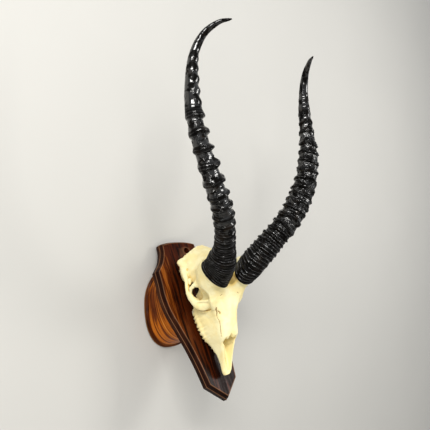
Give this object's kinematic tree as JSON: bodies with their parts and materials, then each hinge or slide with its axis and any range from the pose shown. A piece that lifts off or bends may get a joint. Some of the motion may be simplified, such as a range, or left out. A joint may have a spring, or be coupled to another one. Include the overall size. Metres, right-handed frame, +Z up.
{
  "type": "mounted horned antelope skull",
  "caption": "Gazelle skull with long ringed, lyre-shaped horns, fixed to a tilted shield plaque with a moulded edge and a round wedge block that goes flat on a wall.",
  "frame": {"origin": "middle of the wedge block's flat wall face", "axes": "+X to the viewer's right, +Y into the wall, +Z up"},
  "size_m": [0.349, 0.2884, 0.6722],
  "materials": {
    "bone": "dry bleached bone, cream with ochre in the recesses",
    "enamel": "tooth enamel, slightly glossy",
    "horn": "black horn, rough and ringed below, polished at the tip",
    "board_wood": "dark red-brown stained wood under glossy varnish",
    "wedge_wood": "honey-brown stained wood with dark streaks under glossy varnish"
  },
  "bodies": {
    "root": {"skull": "bone", "horn_right": "horn", "horn_left": "horn", "shield_board": "board_wood", "wedge_block": "wedge_wood", "upper_tooth_right_1": "enamel", "upper_tooth_right_2": "enamel", "upper_tooth_right_3": "enamel", "upper_tooth_right_4": "enamel", "upper_tooth_right_5": "enamel", "upper_tooth_right_6": "enamel", "upper_tooth_left_1": "enamel", "upper_tooth_left_2": "enamel", "upper_tooth_left_3": "enamel", "upper_tooth_left_4": "enamel", "upper_tooth_left_5": "enamel", "upper_tooth_left_6": "enamel"}
  },
  "joints": []
}
